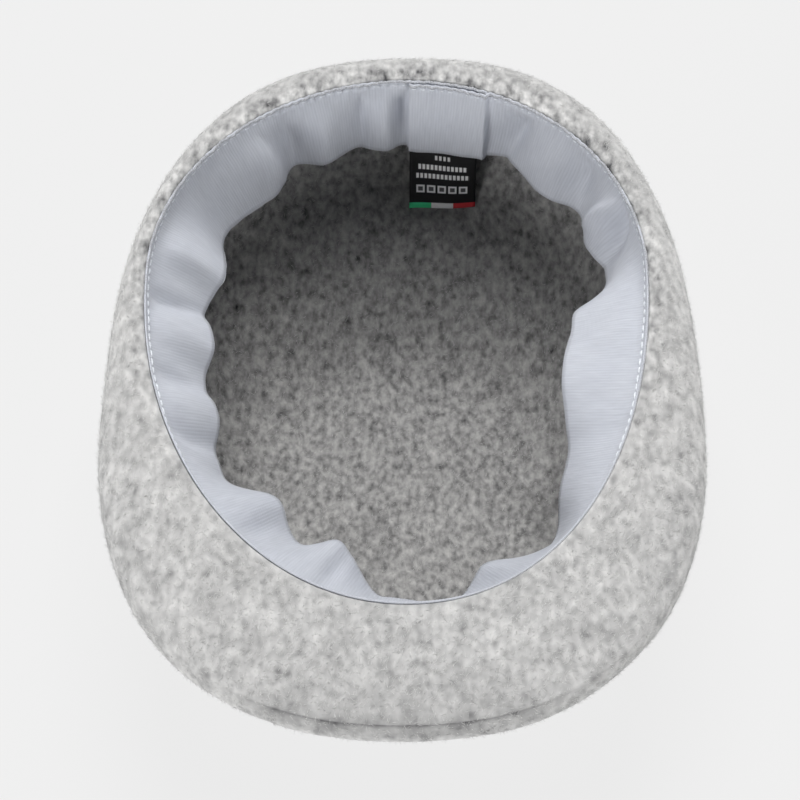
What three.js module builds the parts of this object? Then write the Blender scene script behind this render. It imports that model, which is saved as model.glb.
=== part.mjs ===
// Flat cap of one piece of moulded wool felt, lying on its crown with the opening up.
// Millimetres, +Z up, the peak towards -Y, the origin on the floor under the middle of the cap.
import * as THREE from 'three';

// Opening for the head
const rimWidth = 168;
const rimLength = 204;
const rimTilt = 8; // degrees, the front of the opening lower than its back

// Felt body
const felt = 2.8;
const sideOverhang = 15.2; // the crown swells this far past the opening
const backOverhang = 16.8;
const swellDepth = 20; // the widest section lies this far below the opening
const peakReach = 42.7; // from the front of the opening to the peak's edge
const peakRise = 5; // the edge stands this far above the opening's plane
const peakFold = 7.5; // height of the folded edge
const crownDepth = 88; // from the middle of the opening down to the floor
const restWidth = 76; // the crown is flattened where it rests
const restLength = 90;
const restForward = 5;
const sway = 3; // the soft felt bends aside, to +X

// Grosgrain sweatband
const bandWidth = 36;
const bandThickness = 1;
const bandStand = 0.4; // its sewn edge stands this far proud of the felt
const bandSewn = 3; // upright along the stitches
const bandBend = 8; // then it turns to its lean over this width
const lapLength = 27;
const lapEnd = 4; // the upper end stops this far from the middle of the back
const lapRamp = 12;

// Woven label
const labelWidth = 25;
const labelLength = 57;
const labelThickness = 0.6;
const labelOffset = 15.8; // its middle, to the side of the middle of the back
const labelLean = 14; // degrees, below the sweatband's free edge

const gap = 0.3; // between pieces that touch

const around = 76; // points round each section of the felt
const bandSteps = 156;

// Sections of the felt from the edge of the opening out to the widest one. Out is a share of the overhang
// or of the peak's reach, up a share of the swell's depth, rise a share of the peak's rise, and fold a
// share of the height of the folded edge.
const rollSections = [
  { name: 'rim', sideOut: 0, backOut: 0, peakOut: 0, sideUp: 0, backUp: 0, rise: 0, fold: 0 },
  { name: 'lip', sideOut: 0.2, backOut: 0.18, peakOut: 0.12, sideUp: 0.05, backUp: 0.06, rise: 0.1, fold: 0 },
  { name: 'crest', sideOut: 0.44, backOut: 0.42, peakOut: 0.4, sideUp: 0.03, backUp: 0.07, rise: 0.38, fold: 0 },
  { name: 'shoulder', sideOut: 0.65, backOut: 0.66, peakOut: 0.74, sideUp: -0.1, backUp: -0.06, rise: 0.72, fold: 0 },
  { name: 'turn', sideOut: 0.82, backOut: 0.85, peakOut: 0.95, sideUp: -0.3, backUp: -0.28, rise: 0.95, fold: 0 },
  { name: 'edge', sideOut: 0.92, backOut: 0.94, peakOut: 1, sideUp: -0.52, backUp: -0.48, rise: 1, fold: 0 },
  { name: 'fold', sideOut: 0.98, backOut: 0.99, peakOut: 1.04, sideUp: -0.76, backUp: -0.72, rise: 1, fold: 0.55 },
  { name: 'swell', sideOut: 1, backOut: 1, peakOut: 1.045, sideUp: -1, backUp: -0.95, rise: 1, fold: 1 },
];

// Sections from the widest one down to the flat that rests. Drop is the share of the way down, and the
// spreads are shares of the way from the flat's outline out to the widest section.
const crownSections = [
  { drop: 0.12, side: 0.99, back: 0.98, front: 0.92 },
  { drop: 0.27, side: 0.96, back: 0.935, front: 0.81 },
  { drop: 0.44, side: 0.9, back: 0.845, front: 0.665 },
  { drop: 0.6, side: 0.81, back: 0.725, front: 0.52 },
  { drop: 0.74, side: 0.69, back: 0.58, front: 0.385 },
  { drop: 0.86, side: 0.53, back: 0.41, front: 0.255 },
  { drop: 0.95, side: 0.365, back: 0.26, front: 0.16 },
  { drop: 0.988, side: 0.18, back: 0.125, front: 0.075 },
  { drop: 1, side: 0, back: 0, front: 0 },
];

// How each family of sections is rounded: where it is widest, as a share of the opening's length behind its
// middle, how full its back and front quarters are (2 is an ellipse), and how far it is bent aside at the
// sides, the back and the front, in shares of the sway.
const rimPlan = { widest: 0.103, fullBack: 2, fullFront: 2.08, aside: { side: -0.4, back: 0.7, front: 0.8 } };
const swellPlan = { widest: -0.14, fullBack: 2.55, fullFront: 2.28, aside: { side: 0.3, back: 1.5, front: 0 } };
const restPlan = { widest: -0.02, fullBack: 2, fullFront: 2, aside: { side: 0, back: 0, front: 0 } };

// Waves of the sweatband: its lean into the hollow in degrees, at shares of the way round from the middle of
// the back, by the left side first.
const bandWaves = [
  { at: 0, lean: 3 },
  { at: 0.02, lean: 5 },
  { at: 0.032, lean: 1 },
  { at: 0.053, lean: 7 },
  { at: 0.073, lean: 2 },
  { at: 0.1, lean: 19 },
  { at: 0.135, lean: 19 },
  { at: 0.185, lean: 44 },
  { at: 0.215, lean: 38 },
  { at: 0.243, lean: 46 },
  { at: 0.268, lean: 36 },
  { at: 0.293, lean: 41 },
  { at: 0.338, lean: 30 },
  { at: 0.383, lean: 56 },
  { at: 0.415, lean: 44 },
  { at: 0.444, lean: 63 },
  { at: 0.49, lean: 35 },
  { at: 0.542, lean: 30 },
  { at: 0.572, lean: 44 },
  { at: 0.622, lean: 22 },
  { at: 0.668, lean: 38 },
  { at: 0.738, lean: 61 },
  { at: 0.778, lean: 52 },
  { at: 0.822, lean: 17 },
  { at: 0.848, lean: 17 },
  { at: 0.872, lean: 3 },
  { at: 0.898, lean: 11 },
  { at: 0.938, lean: 0 },
  { at: 0.974, lean: 4 },
];

const mix = THREE.MathUtils.lerp;
const rad = THREE.MathUtils.degToRad;

// A section's outline seen from above, cut by a ray from the middle of the opening
function planPoint(plan, turn) {
  const direction = new THREE.Vector2(-rimWidth * Math.sin(turn), rimLength * Math.cos(turn)).normalize();
  const widest = plan.widest * rimLength;
  const filled = (radius) => {
    const y = direction.y * radius - widest;
    const reach = y > 0 ? plan.back - widest : plan.front + widest;
    const full = y > 0 ? plan.fullBack : plan.fullFront;
    return Math.abs((direction.x * radius) / plan.side) ** full + Math.abs(y / reach) ** full;
  };
  let inside = 0;
  let outside = plan.side + plan.back + plan.front;
  for (let halving = 0; halving < 40; halving += 1) {
    const middle = (inside + outside) / 2;
    if (filled(middle) < 1) inside = middle;
    else outside = middle;
  }
  const bent = sway * roundValue(plan.aside, turn);
  return direction.multiplyScalar(inside).add(new THREE.Vector2(bent, 0));
}

// A value that differs at the side, the back and the front of a section, at a turn from the back
function roundValue(values, turn) {
  const along = Math.cos(turn);
  return mix(values.side, along > 0 ? values.back : values.front, along * along);
}

// Turns a point about the middle of the opening by a share of the opening's tilt
function tilted(x, y, z, share) {
  return new THREE.Vector3(x, y, z).applyAxisAngle(new THREE.Vector3(1, 0, 0), rad(rimTilt * share));
}

function section(plan, heights, tiltShare) {
  const points = [];
  for (let step = 0; step < around; step += 1) {
    const turn = (step / around) * 2 * Math.PI;
    const flat = planPoint(plan, turn);
    points.push(tilted(flat.x, flat.y, roundValue(heights, turn), tiltShare));
  }
  return points;
}

function mixPlan(from, to, share) {
  return {
    widest: mix(from.widest, to.widest, share),
    fullBack: mix(from.fullBack, to.fullBack, share),
    fullFront: mix(from.fullFront, to.fullFront, share),
    aside: {
      side: mix(from.aside.side, to.aside.side, share),
      back: mix(from.aside.back, to.aside.back, share),
      front: mix(from.aside.front, to.aside.front, share),
    },
  };
}

function rollSection(row) {
  const plan = {
    ...mixPlan(rimPlan, swellPlan, Math.min(row.peakOut, 1)),
    side: rimWidth / 2 + gap + sideOverhang * row.sideOut,
    back: rimLength / 2 + gap + backOverhang * row.backOut,
    front: rimLength / 2 + gap + peakReach * row.peakOut,
  };
  const heights = {
    side: swellDepth * row.sideUp,
    back: swellDepth * row.backUp,
    front: peakRise * row.rise - peakFold * row.fold,
  };
  return { plan, heights, points: section(plan, heights, 1) };
}

function crownSection(row, swell) {
  const plan = {
    ...mixPlan(restPlan, swellPlan, row.side),
    side: mix(restWidth / 2, swell.plan.side, row.side),
    back: mix(restLength / 2 - restForward, swell.plan.back, row.back),
    front: mix(restLength / 2 + restForward, swell.plan.front, row.front),
  };
  const heights = {
    side: mix(swell.heights.side, -crownDepth, row.drop),
    back: mix(swell.heights.back, -crownDepth, row.drop),
    front: mix(swell.heights.front, -crownDepth, row.drop),
  };
  return section(plan, heights, 1 - row.drop);
}

// The inner face of the felt, one thickness in from each section of the outer face
function innerFace(rings) {
  const up = tilted(0, 0, 1, 1);
  const down = new THREE.Vector3(0, 0, -1);
  const last = rings.length - 1;
  return rings.map((ring, row) => ring.map((point, step) => {
    const next = ring[(step + 1) % around];
    const before = ring[(step + around - 1) % around];
    const along = next.clone().sub(before);
    const across = rings[Math.min(row + 1, last)][step].clone().sub(rings[Math.max(row - 1, 0)][step]);
    let normal = across.cross(along).normalize();
    if (row === 0) normal = up;
    if (row === last) normal = down;
    return point.clone().addScaledVector(normal, -felt);
  }));
}

// Closed body through rings of points, with a middle point closing each end
function ringBody(rings, firstMiddle, lastMiddle) {
  const positions = [];
  const faces = [];
  const add = (point) => positions.push(point.x, point.y, point.z);
  rings.flat().forEach(add);
  add(firstMiddle);
  add(lastMiddle);
  const first = rings.length * around;
  const end = (rings.length - 1) * around;
  for (let step = 0; step < around; step += 1) {
    const next = (step + 1) % around;
    faces.push(first, step, next);
    faces.push(first + 1, end + next, end + step);
    for (let row = 0; row < end; row += around) {
      faces.push(row + step, row + around + step, row + around + next);
      faces.push(row + step, row + around + next, row + next);
    }
  }
  return solid(positions, faces);
}

// Closed body between two faces of a strip, each a list of rows with as many points
function stripBody(nearRows, farRows) {
  const rows = nearRows.length;
  const columns = nearRows[0].length;
  const positions = [];
  const faces = [];
  [nearRows, farRows].flat(2).forEach((point) => positions.push(point.x, point.y, point.z));
  const near = (row, column) => row * columns + column;
  const far = (row, column) => (rows + row) * columns + column;
  const quad = (a, b, c, d) => faces.push(a, b, c, a, c, d);
  for (let row = 0; row < rows - 1; row += 1) {
    for (let column = 0; column < columns - 1; column += 1) {
      quad(near(row, column), near(row, column + 1), near(row + 1, column + 1), near(row + 1, column));
      quad(far(row, column), far(row + 1, column), far(row + 1, column + 1), far(row, column + 1));
    }
    quad(near(row, 0), near(row + 1, 0), far(row + 1, 0), far(row, 0));
    const side = columns - 1;
    quad(near(row, side), far(row, side), far(row + 1, side), near(row + 1, side));
  }
  for (let column = 0; column < columns - 1; column += 1) {
    const end = rows - 1;
    quad(near(0, column), far(0, column), far(0, column + 1), near(0, column + 1));
    quad(near(end, column), near(end, column + 1), far(end, column + 1), far(end, column));
  }
  return solid(positions, faces);
}

function solid(positions, faces) {
  const geometry = new THREE.BufferGeometry();
  geometry.setAttribute('position', new THREE.Float32BufferAttribute(positions, 3));
  geometry.setIndex(faces);
  geometry.computeVertexNormals();
  return geometry;
}

function feltBody() {
  const roll = rollSections.map(rollSection);
  const swell = roll[roll.length - 1];
  const outer = [...roll.map((part) => part.points), ...crownSections.map((row) => crownSection(row, swell))];
  const inner = innerFace(outer);
  const floorMiddle = new THREE.Vector3(0, -restForward, -crownDepth);
  const insideMiddle = floorMiddle.clone().setZ(felt - crownDepth);
  return ringBody([...inner.reverse(), ...outer], insideMiddle, floorMiddle);
}

// The seam line of the sweatband, from the middle of the back by the left side
function seamLine() {
  const plan = { ...rimPlan, side: rimWidth / 2, back: rimLength / 2, front: rimLength / 2 };
  const points = [];
  for (let step = 0; step < around; step += 1) {
    const flat = planPoint(plan, (step / around) * 2 * Math.PI);
    points.push(new THREE.Vector3(flat.x, flat.y, 0));
  }
  const curve = new THREE.CatmullRomCurve3(points, true);
  curve.arcLengthDivisions = around * 10;
  return curve;
}

const seam = seamLine();
const seamLength = seam.getLength();

function bandLean(share) {
  const at = share - Math.floor(share);
  const count = bandWaves.length;
  let row = count - 1;
  while (row > 0 && bandWaves[row].at > at) row -= 1;
  const here = bandWaves[row];
  const next = bandWaves[(row + 1) % count];
  const end = row + 1 < count ? next.at : 1;
  const way = (at - here.at) / (end - here.at);
  return rad(mix(here.lean, next.lean, (1 - Math.cos(Math.PI * way)) / 2));
}

// A point at a length down the band from its sewn edge, and at a depth behind its outer face
function bandPoint(share, length, behind) {
  const at = share - Math.floor(share);
  const tangent = seam.getTangentAt(at);
  const inward = new THREE.Vector3(-tangent.y, tangent.x, 0);
  const lean = bandLean(share);
  const turned = Math.min(Math.max(length - bandSewn, 0), bandBend);
  const angle = (lean * turned) / bandBend;
  let inwards = 0;
  let down = Math.min(length, bandSewn);
  if (lean > 0 && turned > 0) {
    const radius = bandBend / lean;
    inwards += radius * (1 - Math.cos(angle));
    down += radius * Math.sin(angle);
  } else {
    down += turned;
  }
  const straight = Math.max(length - bandSewn - bandBend, 0);
  inwards += straight * Math.sin(angle) + behind * Math.cos(angle);
  down += straight * Math.cos(angle) - behind * Math.sin(angle);
  return seam.getPointAt(at).addScaledVector(inward, inwards).setZ(bandStand - down);
}

function sweatband() {
  const lengths = [0, bandSewn, bandSewn + bandBend / 2, bandSewn + bandBend, bandWidth / 2, bandWidth];
  const end = 1 - lapEnd / seamLength;
  const start = end - 1 - lapLength / seamLength;
  const outerRows = [];
  const innerRows = [];
  for (let step = 0; step <= bandSteps; step += 1) {
    const share = mix(start, end, step / bandSteps);
    const lapped = (share - (start + 1)) * seamLength;
    const lift = THREE.MathUtils.smoothstep(lapped, -lapRamp, 0) * (bandThickness + gap);
    outerRows.push(lengths.map((length) => bandPoint(share, length, lift)));
    innerRows.push(lengths.map((length) => bandPoint(share, length, lift + bandThickness)));
  }
  return stripBody(outerRows, innerRows).rotateX(rad(rimTilt));
}

// The label hangs behind the sweatband and lies on the crown's wall where it meets it
function wovenLabel(body) {
  const columns = 5;
  const rows = 12;
  const top = bandStand + felt + gap;
  const ray = new THREE.Raycaster();
  const frontRows = [];
  const backRows = [];
  for (let row = 0; row <= rows; row += 1) {
    const length = top + (labelLength * row) / rows;
    const frontRow = [];
    const backRow = [];
    for (let column = 0; column < columns; column += 1) {
      const aside = labelOffset + labelWidth * (column / (columns - 1) - 0.5);
      const share = 1 - aside / seamLength;
      const front = bandPoint(share, Math.min(length, bandWidth), -gap);
      const free = Math.max(length - bandWidth, 0);
      const lean = bandLean(share) + rad(labelLean) * Math.min(free / bandBend, 1);
      front.y -= free * Math.sin(lean);
      front.z -= free * Math.cos(lean);
      const outward = tilted(0, Math.cos(lean), Math.sin(lean), 1);
      const place = tilted(front.x, front.y, front.z, 1);
      ray.set(place.clone().addScaledVector(outward, -bandWidth), outward);
      const wall = ray.intersectObject(body)[0];
      const room = wall.distance - bandWidth - labelThickness - gap;
      place.addScaledVector(outward, Math.min(room, 0));
      frontRow.push(place);
      backRow.push(place.clone().addScaledVector(outward, labelThickness));
    }
    frontRows.push(frontRow);
    backRows.push(backRow);
  }
  return stripBody(backRows, frontRows);
}

function piece(name, geometry, look) {
  const mesh = new THREE.Mesh(geometry, new THREE.MeshStandardMaterial({ side: THREE.DoubleSide, ...look }));
  mesh.name = name;
  return mesh;
}

const cap = new THREE.Group();
const body = piece('felt_body', feltBody(), { color: 0xbfbfbd, roughness: 0.95, metalness: 0 });
cap.add(body);
cap.add(piece('sweatband', sweatband(), { color: 0xb9bfca, roughness: 0.7, metalness: 0 }));
cap.add(piece('woven_label', wovenLabel(body), { color: 0x121213, roughness: 0.6, metalness: 0 }));

const box = new THREE.Box3().setFromObject(cap);
const middle = box.getCenter(new THREE.Vector3());
cap.position.set(-middle.x, -middle.y, -box.min.z);

const part = new THREE.Group();
part.add(cap);

export default part;
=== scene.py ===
import math
import random

import bmesh
import bpy
from mathutils import Matrix, Vector, noise
from mathutils.bvhtree import BVHTree


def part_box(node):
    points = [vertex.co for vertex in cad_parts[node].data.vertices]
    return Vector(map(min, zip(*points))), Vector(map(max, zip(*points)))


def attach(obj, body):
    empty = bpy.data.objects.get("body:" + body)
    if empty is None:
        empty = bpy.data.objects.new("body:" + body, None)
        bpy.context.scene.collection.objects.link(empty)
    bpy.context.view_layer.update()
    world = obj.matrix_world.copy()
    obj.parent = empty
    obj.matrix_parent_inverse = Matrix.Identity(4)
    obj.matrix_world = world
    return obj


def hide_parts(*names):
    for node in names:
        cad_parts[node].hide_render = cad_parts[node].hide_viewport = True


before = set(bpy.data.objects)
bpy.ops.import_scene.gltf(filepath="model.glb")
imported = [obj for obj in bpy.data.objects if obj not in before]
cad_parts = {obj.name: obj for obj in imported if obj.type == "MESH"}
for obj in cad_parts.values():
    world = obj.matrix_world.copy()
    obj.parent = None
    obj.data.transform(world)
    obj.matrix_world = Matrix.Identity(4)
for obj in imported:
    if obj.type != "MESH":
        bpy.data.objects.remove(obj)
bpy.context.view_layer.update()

MM = 0.001

# The opening for the head
RIM_WIDTH = 168 * MM
RIM_LENGTH = 204 * MM
RIM_TILT = math.radians(8)

# The moulded felt
FELT = 2.8 * MM
SIDE_OVERHANG = 15.2 * MM
BACK_OVERHANG = 16.8 * MM
SWELL_DEPTH = 20 * MM
PEAK_REACH = 42.7 * MM
PEAK_RISE = 5 * MM
PEAK_FOLD = 7.5 * MM
CROWN_DEPTH = 88 * MM
REST_WIDTH = 76 * MM
REST_LENGTH = 90 * MM
REST_FORWARD = 5 * MM
SWAY = 3 * MM

# The grosgrain sweatband
BAND_WIDTH = 36 * MM
BAND_THICKNESS = 0.6 * MM
BAND_STAND = 0.4 * MM
BAND_SEWN = 3 * MM
BAND_SEWN_SIDE = 1 * MM
BAND_BEND = 8 * MM
BAND_CLEAR = 0.1 * MM
BAND_LIFT = 1.6 * MM
LAP_LENGTH = 28 * MM
LAP_END = 1.2 * MM
LAP_RAMP = 1 * MM
LAP_CURL = 0.2 * MM
RIB_PITCH = 1.04 * MM
RIB_HEIGHT = 0.04 * MM
RIB_SHIFT = 8 * MM
STEPS_PER_RIB = 4
STITCH_SINK = 0.5 * MM
STITCH_SINK_SIDE = 0.12 * MM
STITCH_GROOVE = 0.6 * MM
PUCKER = 0.35 * MM
PUCKER_DOWN = 1.6 * MM
PUCKER_WIDTH = 1.3 * MM
RIPPLE = dict(around=60, down=50, seed=3.1, height=0.5 * MM)

# How far down the band its folds stand out fully, from where they fall off again, and by how much.
# Their outline is rounder or sharper by the power of its exponent.
FOLD_FULL = 0.45
FOLD_FALL_FROM = 0.6
FOLD_FALL = 0.62
FOLD_ROUND = 2
FOLD_SHARP = 1.15

# Rows of the sweatband's cloth, in millimetres down from its sewn edge
BAND_ROWS = (0, 0.9, 1.7, 2.4, 3, 3.6, 4.5, 6, 8, 10.5, 13.5, 17, 20.5, 24, 27.5, 31, 34, 36)

# The selvedges and the stitches of the sweatband
SELVEDGE = 0.24 * MM
SELVEDGE_BACK = 0.5 * MM
SELVEDGE_RIGHT = 0.26 * MM
SELVEDGE_WAVER = 0.7 * MM
SELVEDGE_RISE = 0.7
LOOP_SWELL = 0.28
SELVEDGES = [
    dict(name="selvedge_sewn", down=0.35 * MM, thin=SELVEDGE / 2, thick=SELVEDGE_BACK, closes=1),
    dict(name="selvedge_free", down=BAND_WIDTH, thin=SELVEDGE, thick=SELVEDGE, closes=0),
]
STITCH_DOWN = 2.4 * MM
STITCH_DOWN_FRONT = 4.2 * MM
STITCH_PITCH = 3.3 * MM
STITCH_LONG = 2.6 * MM
STITCH_SHORT = 1.8 * MM
STITCH_THICK = 0.65 * MM
STITCH_SIDE = 2.9 * MM
STITCH_THICK_SIDE = 0.9 * MM
STITCH_PROUD = 0.1 * MM

# Loose fibres that stand out of the felt
FIBRE_LENGTHS = (1.2 * MM, 2.8 * MM)
FIBRE_THICK = 0.12 * MM
FIBRE_WAY = (0.7, 0.7, 0)
FIBRE_SPREAD = 0.9
FIBRE_OUT = 0.42
FIBRE_CLEAR = 2 * MM
PALE_FIBRES = 30000
DARK_FIBRES = 12000
ROLL_FIBRES = 30000
ROLL_LOW = 0.035
FIBRE_RISES = (0.02, 0.5)
ROLL_RISES = (0.2, 1.3)

# The woven label
LABEL_WIDTH = 25 * MM
LABEL_LENGTH = 58.5 * MM
LABEL_THICKNESS = 0.4 * MM
LABEL_OFFSET = 13.9 * MM
LABEL_LEAN = math.radians(17)
LABEL_TWIST = math.radians(6)
STRIPE_TALL = 2.3 * MM
MARK_SOFT = 0.16 * MM
GAP = 0.3 * MM
RIM_GAP = 0.15 * MM

# Plain woven marks of the label, in millimetres from its middle and its upper end
LABEL_MARKS = [
    dict(top=36.4, tall=1.8, half=3, pitch=1.6, share=0.6, color=(0.8, 0.8, 0.79)),
    dict(top=40.1, tall=2, half=9.25, pitch=1.55, share=0.7, color=(0.98, 0.98, 0.97)),
    dict(top=43.8, tall=2, half=10.05, pitch=1.55, share=0.7, color=(0.98, 0.98, 0.97)),
    dict(top=48.7, tall=3.2, half=10, pitch=4.05, share=0.8, color=(0.9, 0.9, 0.9)),
    dict(top=49.4, tall=1.8, half=9.3, pitch=4.05, share=0.46, color=(0.12, 0.12, 0.12)),
]
LABEL_STRIPE = [
    dict(left=-13, right=-4.2, color=(0.07, 0.75, 0.33)),
    dict(left=-4.2, right=4.2, color=(0.98, 0.98, 0.97)),
    dict(left=4.2, right=13, color=(0.7, 0.05, 0.06)),
]

# How finely the sections and the seam are followed
AROUND = 76
BISECTIONS = 36
SEAM_SAMPLES = 1440
TANGENT_REACH = 3

# Sections of the felt from the edge of the opening out to the widest one, each in shares of the overhangs,
# the peak's reach, the swell's depth, the peak's rise and the height of the folded edge
ROLL_SECTIONS = [
    dict(side_out=0, back_out=0, peak_out=0, side_up=0, back_up=0, rise=0, fold=0),
    dict(side_out=0.2, back_out=0.18, peak_out=0.12, side_up=0.05, back_up=0.06, rise=0.1, fold=0),
    dict(side_out=0.44, back_out=0.42, peak_out=0.4, side_up=0.03, back_up=0.07, rise=0.38, fold=0),
    dict(side_out=0.65, back_out=0.66, peak_out=0.74, side_up=-0.1, back_up=-0.06, rise=0.72, fold=0),
    dict(side_out=0.82, back_out=0.85, peak_out=0.95, side_up=-0.3, back_up=-0.28, rise=0.95, fold=0),
    dict(side_out=0.92, back_out=0.94, peak_out=1, side_up=-0.52, back_up=-0.48, rise=1, fold=0),
    dict(side_out=0.98, back_out=0.99, peak_out=1.04, side_up=-0.76, back_up=-0.72, rise=1, fold=0.55),
    dict(side_out=1, back_out=1, peak_out=1.045, side_up=-1, back_up=-0.95, rise=1, fold=1),
]
EDGE_ROW = 5
SWELL_ROW = 7
EDGE_CREASE = 0.7 * MM
CREASE_WAY = (0, 0.6, -0.8)
CREASE_SPREAD = 0.2

# How sharp the felt is along the peak's edge and under it, and along its cut, which is sharper where the
# ribbon is sewn flush with it
PEAK_EDGE_SHARP = 0.3
PEAK_UNDER_SHARP = 0.45
CUT_SHARP = 0.5
CUT_SHARP_SEWN = 0.85

# A hand-blocked felt is never quite even, except within a few rows of its fixed edges
UNEVEN_WAVES = [dict(scale=26, height=0.55), dict(scale=70, height=0.25)]
FIXED_ROWS = 4

# Painted shade: how much darker the front edge of the peak is painted on the rows of the roll, where the
# edge turns away from the light
EDGE_SHADE = {
    EDGE_ROW - 2: 0.2,
    EDGE_ROW - 1: 0.6,
    EDGE_ROW: 0.8,
    EDGE_ROW + 1: 1.8,
    EDGE_ROW + 2: 0.8,
    EDGE_ROW + 3: 0.7,
}

# How mottled the felt is on the first rows of its roll, beside the sweatband, and how much darker it is
# painted there as shade between the felt and the band
ROLL_MOTTLE_AND_SHADE = {0: 1, 1: 0.8, 2: 0.1}

# Sections from the widest one down to the flat that rests on the floor
CROWN_SECTIONS = [
    dict(drop=0.12, side=0.99, back=0.98, front=0.92),
    dict(drop=0.27, side=0.96, back=0.935, front=0.81),
    dict(drop=0.44, side=0.9, back=0.845, front=0.665),
    dict(drop=0.6, side=0.81, back=0.725, front=0.52),
    dict(drop=0.74, side=0.69, back=0.58, front=0.385),
    dict(drop=0.86, side=0.53, back=0.41, front=0.255),
    dict(drop=0.95, side=0.365, back=0.26, front=0.16),
    dict(drop=0.988, side=0.18, back=0.125, front=0.075),
    dict(drop=1, side=0, back=0, front=0),
]

# How each family of sections is rounded and bent aside
RIM_PLAN = dict(
    widest=0.103, full_back=2, full_front=2.08, aside_side=-0.4, aside_back=0.7, aside_front=0.8)
SWELL_PLAN = dict(
    widest=-0.14, full_back=2.55, full_front=2.28, aside_side=0.3, aside_back=1.5, aside_front=0)
REST_PLAN = dict(widest=-0.02, full_back=2, full_front=2, aside_side=0, aside_back=0, aside_front=0)

# The sweatband's lean in degrees at places on the way round from the middle of the back
BAND_WAVES = [
    dict(at=0, lean=3),
    dict(at=0.02, lean=5),
    dict(at=0.032, lean=1),
    dict(at=0.053, lean=7),
    dict(at=0.073, lean=2),
    dict(at=0.1, lean=19),
    dict(at=0.135, lean=19),
    dict(at=0.185, lean=44),
    dict(at=0.215, lean=38),
    dict(at=0.243, lean=46),
    dict(at=0.268, lean=36),
    dict(at=0.293, lean=41),
    dict(at=0.338, lean=30),
    dict(at=0.383, lean=56),
    dict(at=0.415, lean=44),
    dict(at=0.444, lean=63),
    dict(at=0.49, lean=35),
    dict(at=0.542, lean=30),
    dict(at=0.572, lean=44),
    dict(at=0.622, lean=22),
    dict(at=0.668, lean=38),
    dict(at=0.738, lean=61),
    dict(at=0.778, lean=52),
    dict(at=0.822, lean=17),
    dict(at=0.848, lean=17),
    dict(at=0.872, lean=3),
    dict(at=0.898, lean=11),
    dict(at=0.938, lean=0),
    dict(at=0.974, lean=4),
    dict(at=1, lean=3),
]

# Share of its lean that the sweatband has along the sides
SIDE_LEAN = 0.92

# Folds of the sweatband: where they are on its way round, how wide they are on the side before and after,
# how far they stand towards the head, how far they slant from the sewn edge to the free one,
# and how sharp they are
BAND_FOLDS = [
    dict(at=0.002, before=3, after=3.5, push=-4, slant=0, sharp=0),
    dict(at=0.013, before=4, after=4, push=2, slant=0, sharp=0),
    dict(at=0.027, before=4, after=3, push=-4, slant=0, sharp=0.8),
    dict(at=0.052, before=6, after=6, push=2.6, slant=0, sharp=0),
    dict(at=0.073, before=6, after=4, push=-3, slant=4, sharp=0),
    dict(at=0.091, before=3.5, after=12, push=4.6, slant=10.6, sharp=1),
    dict(at=0.145, before=9, after=9, push=-1.2, slant=0, sharp=0),
    dict(at=0.193, before=9, after=6, push=2.6, slant=6, sharp=0.2),
    dict(at=0.227, before=4, after=4, push=-3.8, slant=10, sharp=0.3),
    dict(at=0.253, before=6, after=6, push=1.8, slant=2, sharp=0),
    dict(at=0.281, before=4, after=4, push=-2.4, slant=3, sharp=0),
    dict(at=0.3, before=6, after=5, push=1.6, slant=0, sharp=0),
    dict(at=0.32, before=4, after=4, push=-2.4, slant=0, sharp=0),
    dict(at=0.398, before=5, after=5, push=-2, slant=4, sharp=0),
    dict(at=0.424, before=5, after=4, push=2, slant=0, sharp=0.5),
    dict(at=0.456, before=4, after=4, push=-2.2, slant=2, sharp=0),
    dict(at=0.56, before=7, after=7, push=-1.2, slant=0, sharp=0),
    dict(at=0.688, before=6, after=6, push=-1.4, slant=0, sharp=0),
    dict(at=0.76, before=8, after=8, push=1.2, slant=0, sharp=0),
    dict(at=0.834, before=6, after=3.6, push=-6.4, slant=3, sharp=0.5),
    dict(at=0.853, before=7, after=3, push=4.8, slant=-17, sharp=0.6),
    dict(at=0.878, before=4, after=6, push=-3.2, slant=-7, sharp=0.2),
    dict(at=0.905, before=7, after=7, push=1.8, slant=-4, sharp=0),
    dict(at=0.9285, before=3, after=9, push=-6, slant=-10, sharp=0.8),
]

# The view, measured from the plane of the opening
VIEW_TILT = math.radians(31)
VIEW_DISTANCE = 750 * MM
VIEW_AIM = -29 * MM
LENS = 104.5
SENSOR = 36

# The room, the glow and the paint of its floor and wall, and the lights
ROOM_RADIUS = 6
FLOOR_GLOW = 0.8
FLOOR_PAINT = 0.06
WALL_GLOW = 0.86
LIGHT_AIM = (0, 0, 0.05)
LIGHTS = [
    dict(name="top_light", place=(0, 0.58, 1.7), size=(1.1, 1.1), power=25),
    dict(name="back_light", place=(0, 1.1, 1.4), size=(1.1, 1.1), power=12),
    dict(name="left_card", place=(-1.3, -1.3, 0.39), size=(1.1, 0.4), power=22),
    dict(name="right_card", place=(1.3, -1.3, 0.34), size=(1.1, 0.4), power=13),
    dict(name="side_card", place=(1.7, 0, 0.5), size=(1.1, 1.1), power=3),
]


def mix(a, b, share):
    return a + (b - a) * share


def smooth(low, high, value):
    t = min(max((value - low) / (high - low), 0), 1)
    return t * t * (3 - 2 * t)


# Shape of the felt's sections


def round_value(side, back, front, turn):
    along = math.cos(turn)
    return mix(side, back if along > 0 else front, along * along)


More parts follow.
